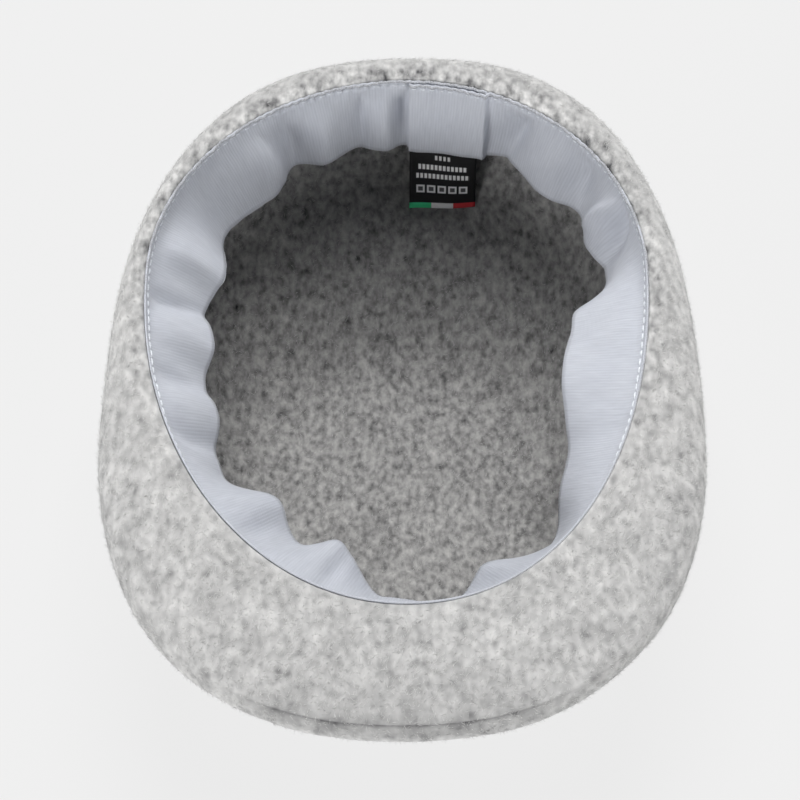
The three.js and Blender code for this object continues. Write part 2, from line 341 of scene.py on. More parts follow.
def plan_point(plan, turn):
    direction = Vector((-RIM_WIDTH * math.sin(turn), RIM_LENGTH * math.cos(turn))).normalized()
    widest = plan["widest"] * RIM_LENGTH

    def filled(radius):
        y = direction.y * radius - widest
        reach = plan["back"] - widest if y > 0 else plan["front"] + widest
        full = plan["full_back"] if y > 0 else plan["full_front"]
        return abs(direction.x * radius / plan["side"]) ** full + abs(y / reach) ** full

    inside, outside = 0, plan["side"] + plan["back"] + plan["front"]
    for _ in range(BISECTIONS):
        middle = (inside + outside) / 2
        if filled(middle) < 1:
            inside = middle
        else:
            outside = middle
    bent = SWAY * round_value(plan["aside_side"], plan["aside_back"], plan["aside_front"], turn)
    return direction * inside + Vector((bent, 0))


def tilted(x, y, z, share=1.0):
    return Matrix.Rotation(RIM_TILT * share, 3, "X") @ Vector((x, y, z))


def mixed_plan(start, end, share):
    return {key: mix(start[key], end[key], share) for key in start}


def section(plan, heights, tilt_share):
    points = []
    for step in range(AROUND):
        turn = 2 * math.pi * step / AROUND
        flat = plan_point(plan, turn)
        points.append(tilted(flat.x, flat.y, round_value(*heights, turn), tilt_share))
    return points


def roll_section(row):
    plan = mixed_plan(RIM_PLAN, SWELL_PLAN, min(row["peak_out"], 1))
    plan["side"] = RIM_WIDTH / 2 + RIM_GAP + SIDE_OVERHANG * row["side_out"]
    plan["back"] = RIM_LENGTH / 2 + RIM_GAP + BACK_OVERHANG * row["back_out"]
    plan["front"] = RIM_LENGTH / 2 + RIM_GAP + PEAK_REACH * row["peak_out"]
    front_height = PEAK_RISE * row["rise"] - PEAK_FOLD * row["fold"]
    heights = (SWELL_DEPTH * row["side_up"], SWELL_DEPTH * row["back_up"], front_height)
    return plan, heights, section(plan, heights, 1)


def crown_section(row, swell_plan, swell_heights):
    plan = mixed_plan(REST_PLAN, SWELL_PLAN, row["side"])
    plan["side"] = mix(REST_WIDTH / 2, swell_plan["side"], row["side"])
    plan["back"] = mix(REST_LENGTH / 2 - REST_FORWARD, swell_plan["back"], row["back"])
    plan["front"] = mix(REST_LENGTH / 2 + REST_FORWARD, swell_plan["front"], row["front"])
    heights = [mix(height, -CROWN_DEPTH, row["drop"]) for height in swell_heights]
    return section(plan, heights, 1 - row["drop"])


def outer_sections():
    roll = [roll_section(row) for row in ROLL_SECTIONS]
    swell_plan, swell_heights, _ = roll[-1]
    crown = [crown_section(row, swell_plan, swell_heights) for row in CROWN_SECTIONS]
    return [points for _, _, points in roll] + crown


def inner_sections(rings):
    last = len(rings) - 1
    inner = []
    for row, ring in enumerate(rings):
        points = []
        for step, point in enumerate(ring):
            along = ring[(step + 1) % AROUND] - ring[step - 1]
            across = rings[min(row + 1, last)][step] - rings[max(row - 1, 0)][step]
            normal = across.cross(along).normalized()
            if row == 0:
                normal = tilted(0, 0, 1)
            if row == last:
                normal = Vector((0, 0, -1))
            points.append(point - normal * FELT)
        inner.append(points)
    return inner


# The seam of the sweatband, and its waves


def seam_line():
    plan = dict(RIM_PLAN, side=RIM_WIDTH / 2, back=RIM_LENGTH / 2, front=RIM_LENGTH / 2)
    points = []
    for step in range(SEAM_SAMPLES):
        flat = plan_point(plan, 2 * math.pi * step / SEAM_SAMPLES)
        points.append(Vector((flat.x, flat.y, 0)))
    lengths = [0]
    for step in range(SEAM_SAMPLES):
        lengths.append(lengths[-1] + (points[(step + 1) % SEAM_SAMPLES] - points[step]).length)
    return points, lengths


SEAM_POINTS, SEAM_LENGTHS = seam_line()
SEAM_LENGTH = SEAM_LENGTHS[-1]


def seam_at(share):
    wanted = (share % 1) * SEAM_LENGTH
    low, high = 0, SEAM_SAMPLES
    while high - low > 1:
        middle = (low + high) // 2
        if SEAM_LENGTHS[middle] <= wanted:
            low = middle
        else:
            high = middle
    here, following = SEAM_POINTS[low], SEAM_POINTS[(low + 1) % SEAM_SAMPLES]
    way = (wanted - SEAM_LENGTHS[low]) / (SEAM_LENGTHS[low + 1] - SEAM_LENGTHS[low])
    before = SEAM_POINTS[low - TANGENT_REACH]
    after = SEAM_POINTS[(low + 1 + TANGENT_REACH) % SEAM_SAMPLES]
    return here.lerp(following, way), (after - before).normalized()


def band_lean(share):
    at = share % 1
    for wave, following in zip(BAND_WAVES, BAND_WAVES[1:]):
        if at <= following["at"]:
            way = (at - wave["at"]) / (following["at"] - wave["at"])
            return math.radians(mix(wave["lean"], following["lean"], (1 - math.cos(math.pi * way)) / 2))


def at_back(share, low=-0.1, high=0.6):
    """1 round the back of the opening, 0 along its sides and front, with a soft step between."""
    return smooth(low, high, math.cos(2 * math.pi * share))


def at_right_front(share):
    """1 from the right side to the middle of the front, where the band is sewn flush with the felt."""
    return smooth(0.5, 0.58, share % 1) * (1 - at_back(share))


def band_point(share, down_band, lift):
    """A point that is lifted off the band's outer face towards the head. Along the sides the band turns in
    sooner and leans less, which brings its free edge to the same place."""
    back = at_back(share)
    lean = max(band_lean(share) * mix(SIDE_LEAN, 1, back), 1e-4)
    sewn = mix(BAND_SEWN_SIDE, BAND_SEWN, back)
    turned = min(max(down_band - sewn, 0), BAND_BEND)
    angle = lean * turned / BAND_BEND
    radius = BAND_BEND / lean
    straight = max(down_band - sewn - BAND_BEND, 0)
    inwards = radius * (1 - math.cos(angle)) + straight * math.sin(angle) + lift * math.cos(angle)
    down = min(down_band, sewn) + radius * math.sin(angle) + straight * math.cos(angle)
    down -= lift * math.sin(angle)
    place, tangent = seam_at(share)
    inward = Vector((-tangent.y, tangent.x, 0))
    point = place + inward * inwards
    return tilted(point.x, point.y, BAND_STAND * (1 - at_right_front(share)) - down)


BAND_END = 1 - LAP_END / SEAM_LENGTH
BAND_START = BAND_END - 1 - LAP_LENGTH / SEAM_LENGTH


def lap_lift(share, down_band):
    """How far the upper end is lifted over the lower one, and curls up at its cut."""
    lapped = (share - BAND_START - 1) * SEAM_LENGTH
    curl = smooth(0.3 * LAP_LENGTH, LAP_LENGTH, lapped) * smooth(BAND_BEND, BAND_WIDTH, down_band)
    return smooth(-LAP_RAMP, 0, lapped) * BAND_LIFT + curl * LAP_CURL


def stitch_line(share):
    """How far below the sewn edge the stitches run."""
    return mix(STITCH_DOWN_FRONT, STITCH_DOWN, at_back(share, 0, 0.9))


def fold_push(share, down_band):
    """How far the folds push the band towards the head. The stitches hold it back."""
    reach = smooth(STITCH_DOWN, FOLD_FULL * BAND_WIDTH, down_band)
    reach *= 1 - FOLD_FALL * smooth(FOLD_FALL_FROM * BAND_WIDTH, BAND_WIDTH, down_band)
    total = 0
    for fold in BAND_FOLDS:
        aside = ((share - fold["at"] + 0.5) % 1 - 0.5) * SEAM_LENGTH / MM
        aside += fold["slant"] * (down_band / BAND_WIDTH - 0.5)
        width = fold["after"] if aside > 0 else fold["before"]
        power = mix(FOLD_ROUND, FOLD_SHARP, fold["sharp"])
        total += fold["push"] * math.exp(-(abs(aside / width) ** power))
    lapped = (share - BAND_START - 1) * SEAM_LENGTH
    under = (BAND_START - share) * SEAM_LENGTH + LAP_LENGTH
    flat = smooth(-LAP_RAMP, 0, max(lapped, under))
    return total * reach * MM * (1 - flat)


def band_surface(share, down_band, deep):
    """A point of the band's inner face, or deeper in its cloth. The stitches sink a groove into it, and at
    the back they pucker it."""
    place = Vector((share % 1 * RIPPLE["around"], down_band * RIPPLE["down"], RIPPLE["seed"]))
    ripple = noise.noise(place) * RIPPLE["height"]
    groove = math.exp(-(((down_band - stitch_line(share)) / STITCH_GROOVE) ** 2))
    groove *= mix(STITCH_SINK_SIDE, STITCH_SINK, at_back(share))
    between = math.cos(2 * math.pi * (BAND_END - share) * round(SEAM_LENGTH / STITCH_PITCH))
    pucker = math.exp(-(((down_band - PUCKER_DOWN) / PUCKER_WIDTH) ** 2))
    groove += at_back(share, 0.3, 0.9) * PUCKER * between * pucker
    lift = BAND_THICKNESS + BAND_CLEAR + lap_lift(share, down_band) + fold_push(share, down_band)
    lift += ripple * smooth(0, BAND_BEND, down_band) - groove - deep
    return band_point(share, down_band, lift)


# Turning meshes into pieces


def piece(name, bm, material):
    mesh = bpy.data.meshes.new(name)
    bm.to_mesh(mesh)
    bm.free()
    mesh.transform(SETTLE)
    for polygon in mesh.polygons:
        polygon.use_smooth = True
    mesh.materials.append(material)
    made = bpy.data.objects.new(name, mesh)
    bpy.context.scene.collection.objects.link(made)
    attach(made, "root")
    return made


def subdivided(made, levels):
    modifier = made.modifiers.new("smooth", "SUBSURF")
    modifier.levels = levels
    modifier.render_levels = levels
    return made


def thickened(made, thickness, offset):
    modifier = made.modifiers.new("thickness", "SOLIDIFY")
    modifier.thickness = thickness
    modifier.offset = offset


# Shader helpers


def shader(name):
    material = bpy.data.materials.new(name)
    material.use_nodes = True
    nodes = material.node_tree.nodes
    return material, nodes, material.node_tree.links, nodes["Principled BSDF"]


def adjust(node, values):
    for name, value in values.items():
        node.inputs[name].default_value = value


def coordinates(nodes, links, scale, source="Object"):
    place = nodes.new("ShaderNodeTexCoord")
    mapping = nodes.new("ShaderNodeMapping")
    mapping.inputs["Scale"].default_value = scale
    links.new(place.outputs[source], mapping.inputs["Vector"])
    return mapping.outputs["Vector"]


def noise_layer(nodes, links, vector, scale, detail):
    layer = nodes.new("ShaderNodeTexNoise")
    adjust(layer, {"Scale": scale, "Detail": detail})
    links.new(vector, layer.inputs["Vector"])
    return layer.outputs["Fac"]


def attribute(nodes, name):
    made = nodes.new("ShaderNodeAttribute")
    made.attribute_name = name
    return made.outputs["Fac"]


def ramp(nodes, links, value, stops):
    made = nodes.new("ShaderNodeValToRGB")
    elements = made.color_ramp.elements
    while len(elements) < len(stops):
        elements.new(0.5)
    for element, (position, color) in zip(elements, stops):
        element.position = position
        element.color = (*color, 1)
    links.new(value, made.inputs["Fac"])
    return made.outputs["Color"]


def blended(nodes, links, kind, share, first, second):
    made = nodes.new("ShaderNodeMix")
    made.data_type = "RGBA"
    made.blend_type = kind
    if isinstance(share, (int, float)):
        made.inputs["Factor"].default_value = share
    else:
        links.new(share, made.inputs["Factor"])
    for socket, value in (("A", first), ("B", second)):
        target = [s for s in made.inputs if s.name == socket and s.type == "RGBA"][0]
        if isinstance(value, tuple):
            target.default_value = (*value, 1)
        else:
            links.new(value, target)
    return [s for s in made.outputs if s.type == "RGBA"][0]


def arithmetic(nodes, links, kind, first, second=None, third=None):
    made = nodes.new("ShaderNodeMath")
    made.operation = kind
    for index, value in enumerate((first, second, third)):
        if value is None:
            continue
        if isinstance(value, (int, float)):
            made.inputs[index].default_value = value
        else:
            links.new(value, made.inputs[index])
    return made.outputs["Value"]


def ranged(nodes, links, value, low, high):
    """0 at the low value and 1 at the high one."""
    made = nodes.new("ShaderNodeMapRange")
    adjust(made, {"From Min": low, "From Max": high})
    links.new(value, made.inputs["Value"])
    return made.outputs["Result"]


def bumped(nodes, links, height, distance, normal=None):
    made = nodes.new("ShaderNodeBump")
    made.inputs["Distance"].default_value = distance
    links.new(height, made.inputs["Height"])
    if normal is not None:
        links.new(normal, made.inputs["Normal"])
    return made.outputs["Normal"]


# Finishes


def melange_felt():
    """Light grey wool felt, clouded by its blend of pale and dark wool. The raw inner side is coarser, and
    is painted darker as shade inside the crown. The roll beside the sweatband at the back and the front
    edge of the peak are painted darker as shade as well."""
    material, nodes, links, surface = shader("melange_felt")
    place = coordinates(nodes, links, (1, 1, 1))
    brushed = nodes.new("ShaderNodeMapping")
    brushed.inputs["Scale"].default_value = (1.12, 0.74, 0.82)
    links.new(place, brushed.inputs["Vector"])
    raw, roll = attribute(nodes, "raw_side"), attribute(nodes, "roll")
    clouds = noise_layer(nodes, links, place, 125, 1)
    tufts = noise_layer(nodes, links, brushed.outputs["Vector"], 400, 0.6)
    grain = noise_layer(nodes, links, brushed.outputs["Vector"], 1050, 1)
    spots = noise_layer(nodes, links, place, 260, 1)

    def swing(value, share):
        middle = arithmetic(nodes, links, "SUBTRACT", value, 0.5)
        return arithmetic(nodes, links, "MULTIPLY", middle, share)

    # The raw side and the turn of the roll are more mottled than the brushed outside, and the turn of the
    # roll beside the sweatband is also painted darker, as shade
    cloud_share = arithmetic(nodes, links, "MULTIPLY_ADD", raw, 0.02, 0.37)
    tuft_share = arithmetic(nodes, links, "MULTIPLY_ADD", raw, 0.36, 0.45)
    tuft_share = arithmetic(nodes, links, "MULTIPLY_ADD", roll, 0.5, tuft_share)
    grain_share = arithmetic(nodes, links, "MULTIPLY_ADD", raw, 0.34, 0.06)
    grain_share = arithmetic(nodes, links, "MULTIPLY_ADD", roll, 0.3, grain_share)
    # Painted shade on the roll beside the sweatband
    total = arithmetic(nodes, links, "MULTIPLY_ADD", roll, -0.11, 0.49)
    for part in (swing(clouds, cloud_share), swing(tufts, tuft_share), swing(grain, grain_share)):
        total = arithmetic(nodes, links, "ADD", total, part)
    total = arithmetic(nodes, links, "MULTIPLY_ADD", ranged(nodes, links, spots, 0.55, 0.85), -0.16, total)
    # Painted shade along the front edge of the peak, broken up by the tufts
    painted_edge_shade = arithmetic(nodes, links, "MULTIPLY_ADD", swing(tufts, 2.4), 1, 1)
    painted_edge_shade = arithmetic(nodes, links, "MULTIPLY", painted_edge_shade, attribute(nodes, "painted_edge_shade"))
    total = arithmetic(nodes, links, "MULTIPLY_ADD", painted_edge_shade, -0.15, total)
    color = ramp(nodes, links, total,
                 [(0, (0.03, 0.03, 0.035)), (0.5, (0.521, 0.518, 0.513)), (1, (1, 0.99, 0.97))])
    # The inside of the crown is painted darker, as shade
    shaded = blended(nodes, links, "MULTIPLY", 1.0, color, (0.62, 0.615, 0.61))
    color = blended(nodes, links, "MIX", raw, color, shaded)
    links.new(color, surface.inputs["Base Color"])
    adjust(surface, {"Roughness": 0.95, "Specular IOR Level": 0.1})
    adjust(surface, {"Sheen Weight": 0.15, "Sheen Roughness": 0.5})
    lumps = bumped(nodes, links, tufts, 0.3 * MM)
    links.new(bumped(nodes, links, grain, 0.1 * MM, lumps), surface.inputs["Normal"])
    return material


def grosgrain():
    """Pale blue-grey ribbon with fine ribs across it. The ribs are modelled, and the hollows between them
    are painted darker as shade."""
    material, nodes, links, surface = shader("grosgrain")
    place = coordinates(nodes, links, (1, 1, 1), "UV")
    threads = noise_layer(nodes, links, coordinates(nodes, links, (1, 0.1, 1), "UV"), 1100, 2)
    color = ramp(nodes, links, threads, [(0.3, (0.515, 0.535, 0.588)), (0.7, (0.575, 0.597, 0.65))])
    split = nodes.new("ShaderNodeSeparateXYZ")
    links.new(place, split.inputs["Vector"])
    phase = arithmetic(nodes, links, "MULTIPLY", split.outputs["X"], 2 * math.pi / RIB_PITCH)
    wave = arithmetic(nodes, links, "MULTIPLY_ADD", arithmetic(nodes, links, "SINE", phase), 0.5, 0.5)
    # Painted shade in the hollows between the ribs
    painted_rib_shade = ramp(nodes, links, wave, [(0, (0.94, 0.94, 0.94)), (0.6, (1, 1, 1))])
    color = blended(nodes, links, "MULTIPLY", 1.0, color, painted_rib_shade)
    wide = ramp(nodes, links, noise_layer(nodes, links, place, 60, 2),
                [(0.3, (0.475, 0.475, 0.48)), (0.7, (0.525, 0.525, 0.525))])
    color = blended(nodes, links, "OVERLAY", 0.5, color, wide)
    links.new(color, surface.inputs["Base Color"])
    adjust(surface, {"Roughness": 0.62, "Specular IOR Level": 0.3, "Sheen Weight": 0.15})
    cross_threads = noise_layer(nodes, links, coordinates(nodes, links, (0.15, 1, 1), "UV"), 2600, 1)
    links.new(bumped(nodes, links, cross_threads, 0.05 * MM), surface.inputs["Normal"])
    return material


def wool(name, color):
    """A fibre or thread, a little lighter and darker along its way."""
    material, nodes, links, surface = shader(name)
    twist = noise_layer(nodes, links, coordinates(nodes, links, (1, 1, 1)), 1800, 1)
    dim, bright = tuple(0.82 * c for c in color), tuple(min(1.08 * c, 1) for c in color)
    links.new(ramp(nodes, links, twist, [(0.35, dim), (0.65, bright)]), surface.inputs["Base Color"])
    adjust(surface, {"Roughness": 0.7, "Specular IOR Level": 0.2})
    return material


def damask(nodes, links, place, color):
    """Fine threads across a woven tape."""
    wave = nodes.new("ShaderNodeTexWave")
    wave.wave_type = "BANDS"
    wave.bands_direction = "Y"
    adjust(wave, {"Scale": 650, "Distortion": 0.6})
    links.new(place, wave.inputs["Vector"])
    shade = ramp(nodes, links, wave.outputs["Fac"], [(0, (0.36, 0.36, 0.36)), (1, (0.6, 0.6, 0.6))])
    return blended(nodes, links, "OVERLAY", 1.0, color, shade), wave.outputs["Fac"]


def within(nodes, links, value, low, high):
    """1 where a value lies between two others, with a soft step at each."""
    rising = ranged(nodes, links, value, low - MARK_SOFT, low + MARK_SOFT)
    falling = ranged(nodes, links, value, high + MARK_SOFT, high - MARK_SOFT)
    return arithmetic(nodes, links, "MULTIPLY", rising, falling)


def repeated(nodes, links, value, pitch, share):
    """1 over a share of each pitch along a value."""
    folded = arithmetic(nodes, links, "WRAP", value, pitch, 0)
    return within(nodes, links, folded, 0, pitch * share)


def label_weave():
    """Black woven tape with plain pale bars and squares, and a stripe in three colours at its end."""
    material, nodes, links, surface = shader("label_weave")
    place = coordinates(nodes, links, (1, 1, 1), "UV")
    split = nodes.new("ShaderNodeSeparateXYZ")
    links.new(place, split.inputs["Vector"])
    across, down = split.outputs["X"], split.outputs["Y"]

    def area(left, right, upper, lower):
        span = within(nodes, links, across, left, right)
        return arithmetic(nodes, links, "MULTIPLY", span, within(nodes, links, down, upper, lower))

    color = (0.012, 0.012, 0.013)
    for row in LABEL_MARKS:
        half = row["half"] * MM
        line = area(-half, half, row["top"] * MM, (row["top"] + row["tall"]) * MM)
        from_left = arithmetic(nodes, links, "ADD", across, half)
        marks = repeated(nodes, links, from_left, row["pitch"] * MM, row["share"])
        mask = arithmetic(nodes, links, "MULTIPLY", line, marks)
        color = blended(nodes, links, "MIX", mask, color, row["color"])
    for row in LABEL_STRIPE:
        stripe = area(row["left"] * MM, row["right"] * MM, LABEL_LENGTH - STRIPE_TALL, 2 * LABEL_LENGTH)
        color = blended(nodes, links, "MIX", stripe, color, row["color"])
    color, threads = damask(nodes, links, place, color)
    links.new(color, surface.inputs["Base Color"])
    adjust(surface, {"Roughness": 0.55, "Specular IOR Level": 0.25})
    links.new(bumped(nodes, links, threads, 0.04 * MM), surface.inputs["Normal"])
    return material


# Pieces


def front_share(turn):
    """1 at the middle of the peak's edge, 0 where the edge has gone soft towards the sides."""
    return smooth(0.86, 0.97, -math.cos(turn))


def creased_edge(outer):
    """The sections, with a shallow crease pressed in along the front edge of the peak."""
    before, edge, after = outer[EDGE_ROW - 1:EDGE_ROW + 2]
    upper, crease, lower = [], [], []
    for step in range(AROUND):
        front = front_share(2 * math.pi * step / AROUND)
        upper.append(edge[step].lerp(before[step], CREASE_SPREAD))
        crease.append(edge[step] + tilted(*CREASE_WAY) * EDGE_CREASE * front)
        lower.append(edge[step].lerp(after[step], CREASE_SPREAD))
    return outer[:EDGE_ROW] + [upper, crease, lower] + outer[EDGE_ROW + 1:]


def uneven(point, free):
    """A point of the felt, moved in or out by as much as it is free."""
    wave = sum(noise.noise(point * row["scale"]) * row["height"] for row in UNEVEN_WAVES)
    return point * (1 + wave * free * MM / max(point.length, MM))


def put_in_order(bm):
    """Edges and faces in the order of their vertices. Faces that bmesh adds come in another order on each
    run, and the loose fibres are drawn from them by their order."""
    bm.verts.index_update()
    many = len(bm.verts)

    def rank(element):
        first, second, *others = sorted(vert.index for vert in element.verts)
        return (first * many + second) * many + (others[0] if others else 0)

    bm.edges.sort(key=rank)
    bm.faces.sort(key=rank)


def felt_mesh(outer):
    """One skin from the middle of the crown's inside, over the rim, to the middle of its outside."""
    inner = inner_sections(outer)
    outer = creased_edge(outer)
    rings = list(reversed(inner)) + outer
    bm = bmesh.new()
    order = bm.verts.layers.int.new("order")
    spot = bm.verts.layers.int.new("spot")
    raw = bm.verts.layers.float.new("raw_side")
    roll = bm.verts.layers.float.new("roll")
    painted_edge_shade = bm.verts.layers.float.new("painted_edge_shade")
    crease = bm.edges.layers.float.new("crease_edge")
    bmesh.ops.create_circle(bm, cap_ends=True, cap_tris=True, segments=AROUND, radius=1)
    edges = [edge for edge in bm.edges if edge.is_boundary]
    rim = sorted({vert for edge in edges for vert in edge.verts}, key=lambda v: math.atan2(v.co.y, v.co.x))
    for step, vert in enumerate(rim):
        vert[order] = step
        vert[spot] = step
        vert.co = rings[0][-step]
    centre = [vert for vert in bm.verts if not any(edge.is_boundary for edge in vert.link_edges)][0]
    centre.co = Vector((0, -REST_FORWARD, FELT - CROWN_DEPTH))
    centre[spot] = -1
    for vert in bm.verts:
        vert[raw] = 1
    cuts = (len(inner) - 1, len(inner))
    folds = {len(inner) + EDGE_ROW + 1: PEAK_EDGE_SHARP, len(inner) + SWELL_ROW + 2: PEAK_UNDER_SHARP}
    for row, ring in enumerate(rings[1:], 1):
        grown = bmesh.ops.extrude_edge_only(bm, edges=edges)["geom"]
        verts = [item for item in grown if isinstance(item, bmesh.types.BMVert)]
        edges = [item for item in grown if isinstance(item, bmesh.types.BMEdge)]
        edges = [edge for edge in edges if edge.is_boundary]
        fixed = min(abs(row - len(inner) + 0.5), len(rings) - 1 - row, row)
        free = min(fixed / FIXED_ROWS, 1)
        for vert in verts:
            vert.co = uneven(ring[-vert[order]], free)
            vert[spot] = row * AROUND + vert[order]
            vert[raw] = 1 if row < len(inner) - 1 else 0
            # Mottle, and painted shade, on the roll beside the sweatband at the back
            back = smooth(-0.7, 0.7, math.cos(2 * math.pi * vert[order] / AROUND))
            vert[roll] = back * ROLL_MOTTLE_AND_SHADE.get(row - len(inner), 0)
            # The front edge of the peak is painted darker, as shade
            front = smooth(0.87, 0.985, -math.cos(2 * math.pi * vert[order] / AROUND))
            vert[painted_edge_shade] = front * EDGE_SHADE.get(row - len(inner), 0)
        for edge in edges:
            turn = -2 * math.pi * edge.verts[0][order] / AROUND
            edge[crease] = folds.get(row, 0) * front_share(turn)
            if row in cuts:
                edge[crease] = mix(CUT_SHARP, CUT_SHARP_SEWN, at_right_front(turn / (2 * math.pi)))
    edges.sort(key=lambda edge: sorted(vert[spot] for vert in edge.verts))
    bottom = bmesh.ops.edgeloop_fill(bm, edges=edges)["faces"]
    bmesh.ops.poke(bm, faces=bottom)["verts"][0][spot] = len(rings) * AROUND
    bmesh.ops.recalc_face_normals(bm, faces=bm.faces)
    bm.verts.sort(key=lambda vert: vert[spot])
    put_in_order(bm)
    return bm


def felt_body(outer):
    body = piece("felt_cap", felt_mesh(outer), melange_felt())
    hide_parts("felt_body")
    return subdivided(body, 2)


def finished_mesh(made):
    """The surface of a piece with its modifiers applied."""
    bpy.context.view_layer.update()
    bm = bmesh.new()
    bm.from_object(made, bpy.context.evaluated_depsgraph_get())
    return bm


def surface_tree(bm):
    """A tree for finding what lies near a surface, whose mesh isn't needed after it."""
    tree = BVHTree.FromBMesh(bm)
    bm.free()
    return tree


def on_roll(face):
    """Whether a face of the felt is on the outside and near the top."""
    middle = face.calc_center_median()
    return middle.z > ROLL_LOW and middle.xy.dot(face.normal.xy) > -0.01


def fibre_shape():
    """A thin cone on a thinner root, one unit long in all."""
    shape = bmesh.new()
    bmesh.ops.create_cone(shape, cap_ends=True, segments=3, radius1=0.5, radius2=0, depth=0.6)
    root = bmesh.ops.poke(shape, faces=[face for face in shape.faces if face.normal.z < -0.9])["verts"][0]
    root.co.z -= 0.4
    return shape


def loose_fibres(name, count, seed, color, felt, others, rises=FIBRE_RISES, wanted=None):
    """Short fibres that lie on the felt with their roots in it, clear of the floor and of the pieces in
    front."""
    draw = random.Random(seed)
    bm = finished_mesh(felt)
    bmesh.ops.triangulate(bm, faces=bm.faces)
    put_in_order(bm)
    bm.faces.ensure_lookup_table()
    weights = [face.calc_area() if wanted is None or wanted(face) else 0 for face in bm.faces]
    picked = draw.choices(range(len(bm.faces)), weights=weights, k=count)
    shape = fibre_shape()
    fibre = bpy.data.meshes.new("fibre")
    bundle = bmesh.new()
    for index in picked:
        face = bm.faces[index]
        a, b = draw.random(), draw.random()
        if a + b > 1:
            a, b = 1 - a, 1 - b
        corners = [vert.co for vert in face.verts]
        place = corners[0] + (corners[1] - corners[0]) * a + (corners[2] - corners[0]) * b
        turn, rise = draw.gauss(0, FIBRE_SPREAD), draw.uniform(*rises)
        length = draw.uniform(*FIBRE_LENGTHS)
        if place.z < FIBRE_CLEAR or any(tree.find_nearest(place, FIBRE_CLEAR)[0] for tree in others):
            continue
        side = (Vector(FIBRE_WAY) - face.normal * face.normal.dot(Vector(FIBRE_WAY))).normalized()
        side.rotate(Matrix.Rotation(turn, 3, face.normal))
        along = (side + face.normal * rise).normalized()
        upright = along.to_track_quat("Z", "X").to_matrix().to_4x4()
        size = Matrix.Diagonal((FIBRE_THICK, FIBRE_THICK, length, 1))
        shape.to_mesh(fibre)
        fibre.transform(Matrix.Translation(place + along * FIBRE_OUT * length) @ upright @ size)
        bundle.from_mesh(fibre)
    bm.free()
    shape.free()
    bpy.data.meshes.remove(fibre)
    bundle.transform(SETTLE.inverted())
    piece(name, bundle, wool(name, color))


def rib_share(along, down_band):
    """Where a rib is on the way round. Along the sides the free edge is drawn back, and the ribs slant
    with it."""
    share = mix(BAND_START, BAND_END, along)
    return share - RIB_SHIFT / SEAM_LENGTH * math.sin(2 * math.pi * share) * down_band / BAND_WIDTH


def sweatband():
    ribs = round((SEAM_LENGTH + LAP_LENGTH) / RIB_PITCH)
    bm = bmesh.new()
    uv = bm.loops.layers.uv.new("cloth")
    rows = len(BAND_ROWS) - 1
    bmesh.ops.create_grid(bm, x_segments=ribs * STEPS_PER_RIB, y_segments=rows, size=0.5)
    for vert in bm.verts:
        vert.co = (vert.co.x + 0.5, BAND_ROWS[round((vert.co.y + 0.5) * rows)] * MM, 0)
    for face in bm.faces:
        for loop in face.loops:
            loop[uv].uv = (loop.vert.co.x * ribs * RIB_PITCH, loop.vert.co.y)
    for vert in bm.verts:
        rib = math.sin(2 * math.pi * vert.co.x * ribs) * RIB_HEIGHT
        vert.co = band_surface(rib_share(vert.co.x, vert.co.y), vert.co.y, -rib)
    made = piece("sweatband_ribbon", bm, grosgrain())
    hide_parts("sweatband")
    thickened(made, BAND_THICKNESS, -1)
    return made


def thread_mesh(places, radii):
    """A closed thread through places, with its radius at each of them."""
    curve = bpy.data.curves.new("thread", "CURVE")
    curve.dimensions = "3D"
    curve.bevel_depth = 1
    curve.bevel_resolution = 1
    curve.use_fill_caps = True
    spline = curve.splines.new("POLY")
    spline.points.add(len(places) - 1)
    for point, place, radius in zip(spline.points, places, radii):
        point.co = (*place, 1)
        point.radius = radius
    thread = bpy.data.objects.new("thread", curve)
    bpy.context.scene.collection.objects.link(thread)
    mesh = bpy.data.meshes.new_from_object(thread)
    bm = bmesh.new()
    bm.from_mesh(mesh)
    bpy.data.objects.remove(thread)
    bpy.data.curves.remove(curve)
    bpy.data.meshes.remove(mesh)
    bmesh.ops.remove_doubles(bm, verts=bm.verts, dist=0.001 * MM)
    return bm


def selvedges():
    """The woven edges of the ribbon, where each rib ends in a small loop. The sewn one is thickest at the
    back, and closes the gap to the felt from the right side to the front."""
    pale = wool("selvedge_thread", (0.45, 0.46, 0.49))
    steps = round((SEAM_LENGTH + LAP_LENGTH) / RIB_PITCH) * STEPS_PER_RIB
    for row in SELVEDGES:
        places, radii = [], []
        for step in range(steps + 1):
            share = mix(BAND_START, BAND_END, step / steps)
            back = at_back(share, -0.3, 0.5)
            right = at_right_front(share) * row["closes"]
            radius = mix(mix(row["thin"], row["thick"], back), SELVEDGE_RIGHT, right)
            waver = noise.noise(Vector((share * 110, row["down"] * 900, 8))) * SELVEDGE_WAVER * back
            deep = BAND_THICKNESS - radius * (1 - right) - waver / 2
            places.append(band_surface(share, row["down"] * (1 - SELVEDGE_RISE * right) + waver, deep))
            radii.append(radius * (1 + LOOP_SWELL * math.sin(2 * math.pi * step / STEPS_PER_RIB)))
        piece(row["name"], thread_mesh(places, radii), pale)


